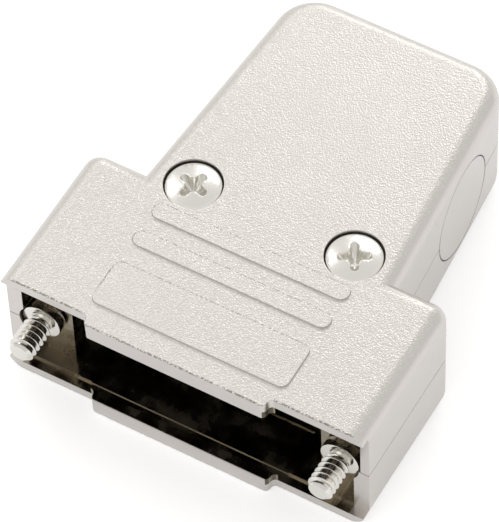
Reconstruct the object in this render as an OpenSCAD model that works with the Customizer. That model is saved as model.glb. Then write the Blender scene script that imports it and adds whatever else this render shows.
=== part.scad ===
// Two-half screened hood for a D-sub cable connector of 39 mm flange width.
// Frame: X runs across the hood, Y from the connector face to the cable end, Z up.
// Origin: midway between the two jackscrew axes, on the front plane of the side lips.
// The two half shells meet on the plane Z = 0, and all sizes are in millimetres.

/* [Front box] */
// Distance between the two jackscrew axes, which the connector's size sets
jack_pitch = 33.32; // [30:0.01:48]
// Distance from a jackscrew axis to the outside of its side wall
side_reach = 3.44; // [3.2:0.01:6]
// Depth of the front box, from the side lips to its rear face
front_depth = 17.8; // [15:0.1:24]
// Radius of the front box's rear corners, seen from above
front_corner_r = 1.8; // [1.8:0.1:4]
// Thickness of the front box's side walls
side_wall = 1.7; // [1.2:0.1:2.4]
// Radius of the edge between the outer face and the sides
edge_r = 1.8; // [0.8:0.1:1.8]
// Chamfer that makes the seam between the halves
seam_chamfer = 0.1; // [0.05:0.01:0.2]

/* [Neck] */
// Step in from the front box's side to the neck's side
shoulder = 6; // [5.8:0.1:7]
// How far each side of the neck draws in towards the cable end
neck_draw = 2; // [0:0.1:2.2]
// Length from the side lips to the cable end
total_len = 45.2; // [44:0.1:60]
// Radius of the neck's rear corners, seen from above
neck_corner_r = 4.4; // [3:0.1:6]
// Thickness of the neck's walls and of the front box's rear wall
wall = 1.5; // [1.2:0.1:2]

/* [Connector flange slot] */
// Height of the slot that takes the connector's flange
slot_h = 12.62; // [12:0.01:16]
// Depth of the slot, behind the side lips
slot_depth = 1.05; // [0.8:0.05:1.6]
// Thickness of the side lips above and below the slot
lip_t = 1.19; // [1:0.01:2]
// Step from the slot's face up to the ear pads behind it
pad_step = 0.3; // [0.1:0.05:0.5]
// Step from the ear pads down to the middle of the cavity
middle_step = 0.2; // [0.1:0.05:0.3]
// Distance from a jackscrew axis in to the edge of its ear pad
pad_inset = 5.56; // [4:0.01:7]
// How far the ear pads run back from the lips
pad_end_y = 6.4; // [5:0.1:10]
// Width of the lip that stands forward in the middle
lip_w = 20; // [14:0.1:24]
// How far the middle lip stands forward of the side lips
lip_reach = 1.1; // [0.6:0.1:2]
// How far each middle lip reaches over the flange
lip_drop = 0.91; // [0.4:0.01:1.5]

/* [Jackscrews] */
// Outer diameter of the thread
thread_d = 2.84; // [2.5:0.01:3.2]
// How far the thread stands forward of the side lips
thread_reach = 2.8; // [1.5:0.1:6]
// Chamfer on the tip of the thread
tip_chamfer = 0.4; // [0.2:0.05:0.6]
// Diameter of the undercut between the thread and the collar
undercut_d = 2.3; // [1.8:0.1:2.4]
// Length of the undercut
undercut_len = 0.5; // [0.3:0.1:0.8]
// Diameter of the plain shank
shank_d = 2.8; // [2.4:0.05:3]
// Diameter of the collar that bears on the flange
collar_d = 4.2; // [3.6:0.1:5]
// Thickness of the collar
collar_t = 1.2; // [0.8:0.1:2]
// Distance from the side lips back to the collar's front face
collar_y = 1.39; // [1.3:0.01:2]
// Diameter of the slotted head behind the front box
jack_head_d = 4.2; // [3.6:0.1:4.8]
// Thickness of the slotted head
jack_head_t = 1.5; // [1.2:0.1:3]
// Width of the driver slot
driver_slot_w = 0.8; // [0.5:0.1:1.2]
// Depth of the driver slot
driver_slot_depth = 0.8; // [0.5:0.1:1.1]
// Radial clearance of the shank in its cradles
shank_clearance = 0.08; // [0.02:0.01:0.1]
// Radial clearance of the collar in the side walls
collar_clearance = 0.2; // [0.1:0.05:0.4]
// Clearance along the axis behind the collar and in front of the head
jack_float = 0.2; // [0.1:0.05:0.4]
// Thickness of the cradle behind the collar
cradle_t = 1.5; // [1:0.1:3]
// Distance from a jackscrew axis in to the end of its cradle
cradle_inset = 2.76; // [2.2:0.01:3.6]

/* [Assembly screws] */
// Distance from the neck's side in to an assembly screw's axis
screw_inset = 5.1; // [4.8:0.1:6]
// Distance of the assembly screws behind the front box's rear face
screw_behind = 0.6; // [0:0.1:3]
// Diameter of the assembly screws' thread
screw_d = 3; // [2.5:0.1:3.2]
// Diameter of the assembly screws' heads
screw_head_d = 5.7; // [4.6:0.1:6]
// Height of the assembly screws' heads at the middle
screw_head_h = 2.5; // [1.8:0.05:2.6]
// Radial clearance round the heads
head_clearance = 0.15; // [0.1:0.05:0.5]
// Radial clearance of the screws in the top shell
screw_clearance = 0.2; // [0.1:0.05:0.4]
// Radial clearance left between a thread and its tapped hole
thread_clearance = 0.03; // [0.01:0.01:0.05]
// Depth of the heads' seats below the outer face
seat_depth = 2.6; // [2.4:0.1:3]
// Length of the assembly screws' thread below the parting plane
screw_grip = 4; // [3:0.1:4.6]
// Thickness of the bosses round the heads' seats
boss_wall = 0.8; // [0.6:0.1:1.2]
// Width of the arms of the cross recess
recess_w = 0.95; // [0.5:0.05:1]
// Span of the arms of the cross recess
recess_span = 3.6; // [2.4:0.1:3.6]
// Depth of the cross recess
recess_depth = 1.5; // [1:0.1:1.8]

/* [Cable entries] */
// Distance from the cable end forward to the middle of the side entries
entry_from_end = 12; // [11.6:0.1:14]
// Diameter of the blanking plugs' outer discs
plug_d = 11; // [9:0.1:11]
// Width of the step that a plug's outer disc rests on
plug_seat = 0.75; // [0.5:0.05:1.2]
// Depth of the pocket that takes a plug's outer disc
pocket_depth = 0.8; // [0.5:0.05:1]
// Radial clearance round the plugs
plug_clearance = 0.06; // [0.03:0.01:0.15]
// Width by which a plug's inner flange is larger than its outer disc
flange_extra = 0.4; // [0.2:0.1:0.6]
// Thickness of a plug's inner flange
flange_t = 0.9; // [0.6:0.1:1.2]

/* [Cable clamp] */
// Distance from the cable end forward to the middle of the clamp
clamp_from_end = 4.3; // [4:0.1:4.5]
// Width of the clamp's straps along the cable
clamp_w = 4; // [3:0.1:4.2]
// Thickness of the clamp's straps
strap_t = 1.2; // [0.8:0.1:1.4]
// Diameter of the cable that the straps close round
cable_d = 8; // [6:0.1:8]
// Gap between the strap's arch and the bosses of the clamp screws
clamp_gap = 0.1; // [0.05:0.05:0.3]
// Diameter of the clamp screws' thread
clamp_screw_d = 2.5; // [2:0.1:2.6]
// Diameter of the clamp screws' heads
clamp_head_d = 4.2; // [3.6:0.1:4.4]
// Height of the clamp screws' heads
clamp_head_h = 1.6; // [1.2:0.1:2]
// Diameter of the bosses under the clamp
clamp_boss_d = 4.6; // [4:0.1:5]

/* [Raised panel and bars] */
// Height of the panel and the bars above the top face
relief_h = 0.25; // [0.1:0.05:0.5]
// Width of the raised panel
panel_w = 21.6; // [16:0.1:24]
// Gap between the panel and the first bar
panel_gap = 2.25; // [1:0.05:3]
// Depth of the panel from front to back
panel_depth = 5.5; // [4:0.1:7]
// Radius of the panel's corners
panel_r = 0.9; // [0.4:0.1:2]
// Length of the raised bars
bar_len = 21.8; // [16:0.1:24]
// Width of the raised bars
bar_w = 1.9; // [1:0.1:2.5]
// Gap between the second bar and the seats of the assembly screws
bar_gap = 0.55; // [0.3:0.05:1]
// Distance between the two bars
bar_step = 3.7; // [3:0.1:4]

/* [Hidden] */

$fn = 64;
round_fn = 32;            // segments of the rounded posts that the hulls join
dome_fn = 180;            // segments of the whole circle that a screw head's dome is part of
eps = 0.02;               // overlap of solids that are joined into one
over = 1;                 // how far a cutting solid runs past what it cuts

front_w = jack_pitch + 2 * side_reach;
half_w = front_w / 2;
neck_front_w = front_w - 2 * shoulder;
neck_back_w = neck_front_w - 2 * neck_draw;
half_h = slot_h / 2 + lip_t;
slot_z = slot_h / 2;
lip_z = slot_z - lip_drop;
ceiling_z = slot_z - pad_step;
middle_z = ceiling_z + middle_step;
inner_x = half_w - side_wall;
jack_x = jack_pitch / 2;
pad_x = jack_x - pad_inset;
cradle_x = jack_x - cradle_inset;
screw_x = neck_front_w / 2 - screw_inset;
screw_y = front_depth + screw_behind;
seat_r = screw_head_d / 2 + head_clearance;
boss_r = seat_r + boss_wall;
collar_back_y = collar_y + collar_t;
cradle_y = collar_back_y + jack_float;
head_y = front_depth + jack_float;
front_rear_wall_y = front_depth - wall;
entry_y = total_len - entry_from_end;
entry_d = plug_d - 2 * plug_seat;
flange_r = (plug_d + flange_extra) / 2;
clamp_y = total_len - clamp_from_end;
bar_y = screw_y - seat_r - bar_gap - bar_w / 2 - bar_step;
panel_back_y = bar_y - bar_w / 2 - panel_gap;
lap_relief = 0.75;        // depth of the relief inside the top shell's right wall
lap_land = 1;             // height of full wall left above that relief
tab_gap = 0.06;           // clearance between a locating tab and the top shell
tab_t = 0.8;              // thickness of a locating tab
tab_h = 1.2;              // height of a locating tab above the parting plane
tab_len = 3;              // length of a locating tab
tab_ahead = 1.2;          // distance of a locating tab ahead of the plug's inner flange
tab_y = entry_y - plug_d / 2 - flange_extra - tab_len - tab_ahead;
tap_extra = 0.6;          // depth of a tapped hole beyond its screw
clamp_grip = 3;           // length of the clamp screws' thread in the bosses
rim_share = 0.88;         // share of a pan head's height that its straight rim takes
plug_wall = 1.2;          // wall left round the hollow of a blanking plug
collar_bevel = 0.12;      // bevel on the front edge of a jackscrew's collar
strap_r = cable_d / 2 + strap_t;
clamp_screw_x = strap_r + clamp_gap + clamp_boss_d / 2;
clamp_foot_x = clamp_screw_x + clamp_boss_d / 2;

// Half width of the neck at a distance y behind the side lips
function neck_half(y) =
    (neck_front_w + (neck_back_w - neck_front_w) * (y - front_depth) / (total_len - front_depth)) / 2;
neck_slope = atan((neck_front_w - neck_back_w) / 2 / (total_len - front_depth));

// Points along an arc about c, from angle a to angle b
function arc(c, r, a, b, n = 8) =
    [for (i = [0:n]) c + r * [cos(a + (b - a) * i / n), sin(a + (b - a) * i / n)]];

// The same points mirrored left to right, in reverse order
function mirrored(points) =
    [for (i = [len(points) - 1:-1:0]) [-points[i].x, points[i].y]];

// Rectangle centred on X, from y0 to y1, with rounded corners
module rounded_plate(w, y0, y1, r) {
    right = concat(
        arc([w / 2 - r, y0 + r], r, -90, 0),
        arc([w / 2 - r, y1 - r], r, 0, 90)
    );
    polygon(concat(right, mirrored(right)));
}

// Round post with a seam chamfer at its foot and a rounded top edge
module post(x, y, r) {
    outline = concat(
        [[0, 0], [r - seam_chamfer, 0], [r, seam_chamfer]],
        arc([r - edge_r, half_h - edge_r], edge_r, 0, 90),
        [[0, half_h]]
    );
    translate([x, y, 0]) rotate_extrude($fn = round_fn) polygon(outline);
}

// Outer form of the front box, open ended towards the connector
module front_form() {
    x = half_w - front_corner_r;
    intersection() {
        hull() {
            for (side = [-1, 1]) {
                post(side * x, front_depth - front_corner_r, front_corner_r);
                post(side * x, -front_corner_r - over, front_corner_r);
            }
        }
        translate([-half_w - over, 0, -over]) cube([front_w + 2 * over, front_depth + over, half_h + 2 * over]);
    }
}

// Outer form of the neck, which starts inside the front box
module neck_form() {
    back_y = total_len - neck_corner_r;
    start_y = front_rear_wall_y - front_corner_r;
    hull() {
        for (side = [-1, 1]) {
            post(side * (neck_half(back_y) - neck_corner_r / cos(neck_slope)), back_y, neck_corner_r);
            post(side * (neck_half(start_y) - front_corner_r / cos(neck_slope)), start_y, front_corner_r);
        }
    }
}

// Inside outline of the neck, from just inside the front box to the rear wall
module neck_inside() {
    r = neck_corner_r - wall;
    side = wall / cos(neck_slope);
    start_y = front_rear_wall_y - eps;
    corner_y = total_len - neck_corner_r;
    right = concat(
        [[neck_half(start_y) - side, start_y]],
        arc([neck_half(corner_y) - neck_corner_r / cos(neck_slope), corner_y], r, neck_slope, 90)
    );
    polygon(concat(right, mirrored(right)));
}

// Everything that is hollow inside one half shell
module cavity() {
    translate([-inner_x, slot_depth - eps, -over])
        cube([2 * inner_x, front_rear_wall_y - slot_depth + eps, ceiling_z + over]);
    translate([-pad_x, slot_depth - eps, -over])
        cube([2 * pad_x, pad_end_y - slot_depth + eps, middle_z + over]);
    translate([0, 0, -over]) linear_extrude(ceiling_z + over) neck_inside();
    along_y(0, clamp_y - clamp_w / 2 - clamp_gap, strap_r + clamp_gap, clamp_w + 2 * clamp_gap);
    translate([-half_w - over, -over, -over])
        cube([front_w + 2 * over, slot_depth + over, slot_z + over]);
}

// Plan of the middle lip, with a round sweep at each end
module lip_plan(back_y) {
    r = lip_reach / 2;
    x = lip_w / 2;
    left = concat(
        [[-x - r, back_y]],
        arc([-x - r, -r], r, 90, 0),
        arc([-x + r, -r], r, 180, 270)
    );
    polygon(concat(left, mirrored(left)));
}

// Lip that stands forward in the middle and holds the flange in its slot
module middle_lip() {
    translate([0, 0, slot_z]) linear_extrude(half_h - slot_z) lip_plan(slot_depth / 2);
    translate([0, 0, lip_z]) linear_extrude(lip_drop + eps) lip_plan(0);
}

// Walls that carry the jackscrews behind their collars
module cradles() {
    for (side = [-1, 1]) {
        x0 = side > 0 ? cradle_x : -inner_x - eps;
        translate([x0, cradle_y, 0]) cube([inner_x - cradle_x + eps, cradle_t, ceiling_z + eps]);
    }
}

// Round ways for both jackscrews through the cradles and the rear wall
module jackscrew_ways() {
    for (side = [-1, 1]) {
        along_y(side * jack_x, 0, shank_d / 2 + shank_clearance, front_depth + over);
        along_y(side * jack_x, 0, collar_d / 2 + collar_clearance, cradle_y);
    }
}

// Cylinder along Y from y0, with its axis on the parting plane
module along_y(x, y0, r, length) {
    translate([x, y0, 0]) rotate([-90, 0, 0]) cylinder(r = r, h = length);
}

// Places its children on a side entry: Z points straight out of the neck's wall
module at_side_entry(side) {
    translate([side * neck_half(entry_y), entry_y, 0])
        rotate([0, side * 90, side * neck_slope]) children();
}

// Places its children on the rear entry: Z points out along the cable
module at_rear_entry() {
    translate([0, total_len, 0]) rotate([-90, 0, 0]) children();
}

// Stepped hole for a cable or a blanking plug, cut inwards from Z = 0, with room for the plug's flange
module entry_hole() {
    translate([0, 0, -pocket_depth]) cylinder(d = plug_d + 2 * plug_clearance, h = pocket_depth + over);
    translate([0, 0, -wall - over]) cylinder(d = entry_d, h = wall + 2 * over);
    translate([0, 0, -wall - flange_t - 2 * plug_clearance])
        cylinder(r = flange_r + plug_clearance, h = flange_t + 2 * plug_clearance);
}

// One half shell above the parting plane, before its screw holes are cut
module half_shell() {
    difference() {
        union() {
            difference() {
                union() {
                    front_form();
                    neck_form();
                }
                cavity();
            }
            middle_lip();
            cradles();
            for (side = [-1, 1])
                translate([side * screw_x, screw_y, 0]) cylinder(r = boss_r, h = ceiling_z + eps);
        }
        jackscrew_ways();
        at_rear_entry() entry_hole();
        for (side = [-1, 1]) at_side_entry(side) entry_hole();
    }
}

module top_shell() color("gainsboro") {
    difference() {
        half_shell();
        for (side = [-1, 1]) translate([side * screw_x, screw_y, 0]) {
            translate([0, 0, half_h - seat_depth])
                cylinder(r = seat_r, h = seat_depth + over);
            translate([0, 0, -over]) cylinder(r = screw_d / 2 + screw_clearance, h = half_h + over);
        }
        translate([inner_x - eps, slot_depth - eps, -over])
            cube([lap_relief + eps, cradle_y - slot_depth + eps, ceiling_z - lap_land + over]);
    }
    translate([0, 0, half_h - eps]) linear_extrude(relief_h + eps)
        rounded_plate(panel_w, panel_back_y - panel_depth, panel_back_y, panel_r);
    for (i = [0:1]) {
        y = bar_y + i * bar_step;
        translate([0, 0, half_h - eps]) linear_extrude(relief_h + eps)
            rounded_plate(bar_len, y - bar_w / 2, y + bar_w / 2, bar_w / 2 - eps);
    }
}

// Tabs on the bottom shell's inner walls that line up the top shell
module locating_tabs() {
    x = neck_half(tab_y) - wall / cos(neck_slope);
    for (side = [-1, 1]) mirror([side > 0 ? 0 : 1, 0, 0]) translate([x, tab_y, 0]) rotate([0, 0, neck_slope]) {
        translate([-tab_t, 0, -2 * tab_h]) cube([tab_t + 4 * eps, tab_len, 2 * tab_h]);
        translate([-tab_t, 0, -eps]) cube([tab_t - tab_gap, tab_len, tab_h + eps]);
    }
}

module bottom_shell() color("gainsboro") {
    difference() {
        union() {
            mirror([0, 0, 1]) half_shell();
            for (side = [-1, 1])
                translate([side * clamp_screw_x, clamp_y, -ceiling_z - eps])
                    cylinder(d = clamp_boss_d, h = ceiling_z - strap_t + eps);
            locating_tabs();
        }
        for (side = [-1, 1]) {
            translate([side * screw_x, screw_y, -screw_grip - tap_extra])
                cylinder(r = screw_d / 2 + thread_clearance, h = screw_grip + tap_extra + over);
            translate([side * clamp_screw_x, clamp_y, -strap_t - clamp_grip - tap_extra])
                cylinder(r = clamp_screw_d / 2 + thread_clearance, h = clamp_grip + tap_extra + strap_t);
        }
    }
}

// Pan-head screw with a cross recess, its seat at Z = 0 and its shank below
module pan_screw(shank_d, length, head_d, head_h, turn) {
    rim = head_h * rim_share;
    dome_r = (pow(head_d / 2, 2) + pow(head_h - rim, 2)) / (2 * (head_h - rim));
    difference() {
        union() {
            rotate_extrude() intersection() {
                square([head_d / 2, head_h]);
                translate([0, head_h - dome_r]) circle(dome_r, $fn = dome_fn);
            }
            translate([0, 0, -length]) cylinder(d = shank_d, h = length + eps);
        }
        rotate([0, 0, turn]) for (a = [0, 90]) rotate([0, 0, a])
            translate([-recess_span / 2, -recess_w / 2, head_h - recess_depth])
                cube([recess_span, recess_w, recess_depth + over]);
    }
}

module assembly_screw(side, turn) color("silver")
    translate([side * screw_x, screw_y, half_h - seat_depth])
        pan_screw(screw_d, half_h - seat_depth + screw_grip, screw_head_d, screw_head_h, turn);

module clamp_screw(side) color("silver")
    translate([side * clamp_screw_x, clamp_y, strap_t])
        pan_screw(clamp_screw_d, 2 * strap_t + clamp_grip, clamp_head_d, clamp_head_h, 0);

// Jackscrew along Y: thread, collar, plain shank and slotted head, turned as one piece
module jackscrew(side) color("silver") {
    thread_r = thread_d / 2;
    profile = [
        [0, -thread_reach], [thread_r - tip_chamfer, -thread_reach], [thread_r, -thread_reach + tip_chamfer],
        [thread_r, collar_y - undercut_len], [undercut_d / 2, collar_y - undercut_len], [undercut_d / 2, collar_y],
        [collar_d / 2 - collar_bevel, collar_y], [collar_d / 2, collar_y + collar_bevel],
        [collar_d / 2, collar_back_y], [shank_d / 2, collar_back_y], [shank_d / 2, head_y],
        [jack_head_d / 2, head_y], [jack_head_d / 2, head_y + jack_head_t], [0, head_y + jack_head_t]
    ];
    translate([side * jack_x, 0, 0]) difference() {
        rotate([-90, 0, 0]) rotate_extrude() polygon(profile);
        translate([-jack_head_d, head_y + jack_head_t - driver_slot_depth, -driver_slot_w / 2])
            cube([2 * jack_head_d, driver_slot_depth + over, driver_slot_w]);
    }
}

// Blanking plug: a disc flush with the wall, a waist in the entry and a flange inside
module plug(side) color("gainsboro") {
    waist_r = entry_d / 2 - plug_clearance;
    outer_back = pocket_depth - plug_clearance / 2;
    inner_front = wall + plug_clearance / 2;
    hollow_r = waist_r - plug_wall;
    profile = [
        [0, 0], [plug_d / 2, 0], [plug_d / 2, -outer_back], [waist_r, -outer_back],
        [waist_r, -inner_front], [flange_r, -inner_front], [flange_r, -inner_front - flange_t],
        [hollow_r, -inner_front - flange_t], [hollow_r, -outer_back], [0, -outer_back]
    ];
    at_side_entry(side) rotate_extrude() polygon(profile);
}

// Strap with an arch over the cable and a flat foot at each side
module clamp_strap() {
    difference() {
        union() {
            translate([0, clamp_y - clamp_w / 2, 0]) rotate([-90, 0, 0]) cylinder(r = strap_r, h = clamp_w);
            translate([-clamp_foot_x, clamp_y - clamp_w / 2, 0]) cube([2 * clamp_foot_x, clamp_w, strap_t]);
        }
        translate([0, clamp_y - clamp_w / 2 - over, 0])
            rotate([-90, 0, 0]) cylinder(d = cable_d, h = clamp_w + 2 * over);
        translate([-strap_r - over, clamp_y - clamp_w / 2 - over, -strap_r - over])
            cube([2 * (strap_r + over), clamp_w + 2 * over, strap_r + over]);
        for (side = [-1, 1])
            translate([side * clamp_screw_x, clamp_y, -over])
                cylinder(r = clamp_screw_d / 2 + screw_clearance, h = strap_t + 2 * over);
    }
}

module clamp_upper() color("lightgray") clamp_strap();
module clamp_lower() color("lightgray") mirror([0, 0, 1]) clamp_strap();

top_shell();
bottom_shell();
assembly_screw(-1, 74);  // assembly_screw_left
assembly_screw(1, 29);  // assembly_screw_right
jackscrew(-1);  // jackscrew_left
jackscrew(1);  // jackscrew_right
plug(-1);  // plug_left
plug(1);  // plug_right
clamp_upper();
clamp_lower();
clamp_screw(-1);  // clamp_screw_left
clamp_screw(1);  // clamp_screw_right
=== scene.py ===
# %% [markdown]
# # A metal hood for a D-sub cable connector
# The hood is two nickel-plated zinc castings that close round the back of a 15-way connector.
# Two screws hold the halves together, and two loose jackscrews fasten the hood to its socket.
# This lesson gives the finished construction its looks: the spark-eroded grain of the mould,
# the satin sides, the dark polished inside and the rolled threads of the screws.

# %% Load the construction
import bmesh
import bpy
import math
from mathutils import Matrix, Vector


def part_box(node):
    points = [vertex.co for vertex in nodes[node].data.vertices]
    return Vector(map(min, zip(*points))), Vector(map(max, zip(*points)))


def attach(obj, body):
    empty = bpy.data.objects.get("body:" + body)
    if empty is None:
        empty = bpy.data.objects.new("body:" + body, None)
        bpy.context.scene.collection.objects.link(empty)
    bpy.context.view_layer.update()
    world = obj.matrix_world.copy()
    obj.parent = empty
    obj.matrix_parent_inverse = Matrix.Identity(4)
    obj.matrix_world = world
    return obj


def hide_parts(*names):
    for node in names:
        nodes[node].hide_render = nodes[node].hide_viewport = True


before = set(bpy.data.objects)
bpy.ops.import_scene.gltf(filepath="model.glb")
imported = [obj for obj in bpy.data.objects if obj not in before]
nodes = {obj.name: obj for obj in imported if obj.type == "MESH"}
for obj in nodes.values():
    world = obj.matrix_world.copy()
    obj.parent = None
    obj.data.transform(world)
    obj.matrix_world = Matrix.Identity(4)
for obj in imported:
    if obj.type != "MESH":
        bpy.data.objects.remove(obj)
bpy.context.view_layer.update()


def mm(value):
    """Millimetres as metres."""
    return value / 1000


# %% [markdown]
# ## Sizes that the looks need
# The construction is fixed, so each size is read from the boxes of its own solids where it can be.
# The few that a box can't tell, such as a wall or a clearance, are written here once by name.

# %% Sizes
SIDES = ("left", "right")
shell_low, shell_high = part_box("bottom_shell")
half_h = -shell_low[2]
half_w = shell_high[0]
total_len = shell_high[1]
front_depth = mm(17.8)
neck_front_half = mm(14.1)
neck_back_half = mm(12.1)
side_wall = mm(1.7)
wall = mm(1.5)
slot_depth = mm(1.05)
print("half height", half_h, "half width", half_w, "length", total_len)


# %% [markdown]
# ## The camera
# A small product is shown through a long lens from far away, so its edges stay nearly parallel.
# The camera is turned round the hood by an azimuth, raised by an elevation, and then rolled a
# little about its own axis. Building its matrix from these three angles keeps each of them clear.

# %% Camera
CAMERA_AZIMUTH = math.radians(31.96)
CAMERA_ELEVATION = math.radians(54.52)
CAMERA_ROLL = math.radians(-2.77)
CAMERA_DISTANCE = mm(438.7)
CAMERA_AIM = Vector((mm(-2.41), mm(17.5), 0))
CAMERA_NEAREST = mm(10)
LENS = 307.0


def add_camera():
    """The scene's camera, aimed by its angles."""
    level = math.cos(CAMERA_ELEVATION)
    away = Vector((
        level * math.sin(CAMERA_AZIMUTH),
        -level * math.cos(CAMERA_AZIMUTH),
        math.sin(CAMERA_ELEVATION),
    ))
    right = Vector((math.cos(CAMERA_AZIMUTH), math.sin(CAMERA_AZIMUTH), 0))
    up = away.cross(right)
    rolled_right = right * math.cos(CAMERA_ROLL) + up * math.sin(CAMERA_ROLL)
    rolled_up = up * math.cos(CAMERA_ROLL) - right * math.sin(CAMERA_ROLL)
    turned = Matrix((rolled_right, rolled_up, away)).transposed()
    camera = bpy.data.objects.new("camera", bpy.data.cameras.new("camera"))
    camera.matrix_world = Matrix.Translation(CAMERA_AIM + away * CAMERA_DISTANCE) @ turned.to_4x4()
    camera.data.lens = LENS
    camera.data.clip_start = CAMERA_NEAREST
    bpy.context.scene.collection.objects.link(camera)
    bpy.context.scene.camera = camera
    return camera


camera = add_camera()
print("camera at, mm:", [round(c * 1000, 1) for c in camera.location])

# %% [markdown]
# ## Node helpers
# Every finish is made of nodes. These helpers add a node, wire it and set plain values, so the
# cells below read as a recipe: which texture, how large, and what it drives.

# %% Node helpers


def add(tree, kind, label="", **settings):
    """A new node of that kind, with its properties set."""
    node = tree.nodes.new(kind)
    node.label = label
    for name, value in settings.items():
        setattr(node, name, value)
    return node


def feed(tree, source, target):
    """Sets a socket from a plain value, or links it from another socket."""
    if isinstance(source, bpy.types.NodeSocket):
        tree.links.new(source, target)
    else:
        target.default_value = source


def math_node(tree, operation, first, second=0.0, label="", clamp=False):
    """The output of one Math node."""
    node = add(tree, "ShaderNodeMath", label, operation=operation, use_clamp=clamp)
    feed(tree, first, node.inputs[0])
    feed(tree, second, node.inputs[1])
    return node.outputs[0]


def ramp(tree, value, low, high, out_low=0.0, out_high=1.0, label=""):
    """Value brought from low..high to out_low..out_high, and held at both ends."""
    node = add(tree, "ShaderNodeMapRange", label)
    feed(tree, value, node.inputs["Value"])
    limits = {"From Min": low, "From Max": high, "To Min": out_low, "To Max": out_high}
    for name, limit in limits.items():
        feed(tree, limit, node.inputs[name])
    return node.outputs["Result"]


def absolute(tree, value, label=""):
    """A value without its sign."""
    return math_node(tree, "ABSOLUTE", value, label=label)


def positive(tree, value):
    """A value, or 0 where it is below 0."""
    return math_node(tree, "MAXIMUM", value, 0.0)


def diagonal(tree, first, second):
    """The diagonal's length over two sides at right angles."""
    squares = [math_node(tree, "POWER", side, 2.0) for side in (first, second)]
    return math_node(tree, "SQRT", math_node(tree, "ADD", *squares))


def within(tree, value, limit, soft=mm(0.02)):
    """1 where a value is below a limit, and 0 above it."""
    return ramp(tree, value, limit, math_node(tree, "ADD", limit, soft), 1.0, 0.0)


def product(tree, *masks):
    """Several masks multiplied."""
    result = masks[0]
    for mask in masks[1:]:
        result = math_node(tree, "MULTIPLY", result, mask)
    return result


def split(tree, vector):
    """The X, Y and Z of a vector."""
    node = add(tree, "ShaderNodeSeparateXYZ")
    tree.links.new(vector, node.inputs[0])
    return node.outputs


def mix_colour(tree, factor, first, second, label=""):
    """A colour between first and second."""
    node = add(tree, "ShaderNodeMix", label, data_type="RGBA", blend_type="MIX")
    feed(tree, factor, node.inputs[0])
    feed(tree, first, node.inputs[6])
    feed(tree, second, node.inputs[7])
    return node.outputs[2]


def noise(tree, position, size, detail=2.0, label=""):
    """Soft noise whose lumps are about that size, in metres."""
    node = add(tree, "ShaderNodeTexNoise", label)
    feed(tree, position, node.inputs["Vector"])
    node.inputs["Scale"].default_value = 1 / size
    node.inputs["Detail"].default_value = detail
    return node.outputs["Fac"]


def new_group(name, inputs, outputs):
    """An empty shader group with named sockets, and its inner input and output nodes."""
    group = bpy.data.node_groups.new(name, "ShaderNodeTree")
    kinds = {"float": "NodeSocketFloat", "vector": "NodeSocketVector", "colour": "NodeSocketColor"}
    for label, kind in inputs.items():
        group.interface.new_socket(name=label, in_out="INPUT", socket_type=kinds[kind])
    for label, kind in outputs.items():
        group.interface.new_socket(name=label, in_out="OUTPUT", socket_type=kinds[kind])
    return group, add(group, "NodeGroupInput").outputs, add(group, "NodeGroupOutput").inputs


def place(tree, group, **values):
    """A group placed in a material. Underscores in the names stand for spaces."""
    node = add(tree, "ShaderNodeGroup", group.name, node_tree=group)
    for name, value in values.items():
        feed(tree, value, node.inputs[name.replace("_", " ")])
    return node.outputs


# %% [markdown]
# ## Spark-eroded grain
# The mould's flat faces are cut by sparks, which leave overlapping craters about a tenth of a
# millimetre across. The casting takes the reverse: packed rounded granules. Cellular noise with
# soft cell borders gives packed lumps, and a second, finer layer breaks up their tops.

# %% Grain group
# How soft the cells' borders are, and the scale and detail of the finer layer
BORDER_SOFTNESS = 0.55
TOP_SCALE = 0.8
TOP_DETAIL = 3.0
# Where a granule's dome starts and ends, in cells, and the share of each layer in the height
DOME_START = 0.05
DOME_END = 0.65
DOME_SHARE = 0.55
TOP_SHARE = 0.9
# Heights between which the colour goes from a pit's painted shade to a top's
PIT_HEIGHT = 0.65
TOP_HEIGHT = 1.05


def make_grain():
    """Rounded granules of a given size, as a height, and a mask of their tops."""
    group, given, result = new_group(
        "spark grain",
        {"Position": "vector", "Granule": "float"},
        {"Height": "float", "Tops": "float"},
    )
    scale = math_node(group, "DIVIDE", 1.0, given["Granule"], "granules per metre")
    cells = add(group, "ShaderNodeTexVoronoi", "granules", feature="SMOOTH_F1")
    group.links.new(given["Position"], cells.inputs["Vector"])
    group.links.new(scale, cells.inputs["Scale"])
    cells.inputs["Smoothness"].default_value = BORDER_SOFTNESS
    rough = add(group, "ShaderNodeTexNoise", "broken tops")
    group.links.new(given["Position"], rough.inputs["Vector"])
    group.links.new(math_node(group, "MULTIPLY", scale, TOP_SCALE), rough.inputs["Scale"])
    rough.inputs["Detail"].default_value = TOP_DETAIL
    domes = ramp(group, cells.outputs["Distance"], DOME_START, DOME_END, 1.0, 0.0, "domes")
    dome_height = math_node(group, "MULTIPLY", domes, DOME_SHARE)
    top_height = math_node(group, "MULTIPLY", rough.outputs["Fac"], TOP_SHARE)
    height = math_node(group, "ADD", dome_height, top_height, "height")
    group.links.new(height, result["Height"])
    group.links.new(ramp(group, height, PIT_HEIGHT, TOP_HEIGHT), result["Tops"])
    return group


grain = make_grain()
print("made group:", grain.name, [s.name for s in grain.interface.items_tree])

# %% [markdown]
# ## Zones of a casting
# One casting carries three finishes: grain on its top and bottom faces, satin on the sides that
# slide out of the mould, and a polish inside. The sides and the inside are also painted darker than
# the faces, as painted shade. They could be split by material slots, but the solid is one mesh, so
# masks worked out from the position on the part are simpler and always fit.

# %% Zone group
EAR_FLAT = mm(0.02)
# How far grain reaches down a fillet, and how level a face starts and ends taking it
GRAIN_REACH = mm(0.9)
GRAIN_FROM = 0.35
GRAIN_FULL = 0.62
SLOT_Z = mm(6.31)
CEILING_Z = SLOT_Z + mm(0.4)
NECK_CORNER_R = mm(4.4)
MOUTH_FROM = -mm(1.06)
MOUTH_FULL = -mm(1.03)
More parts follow.
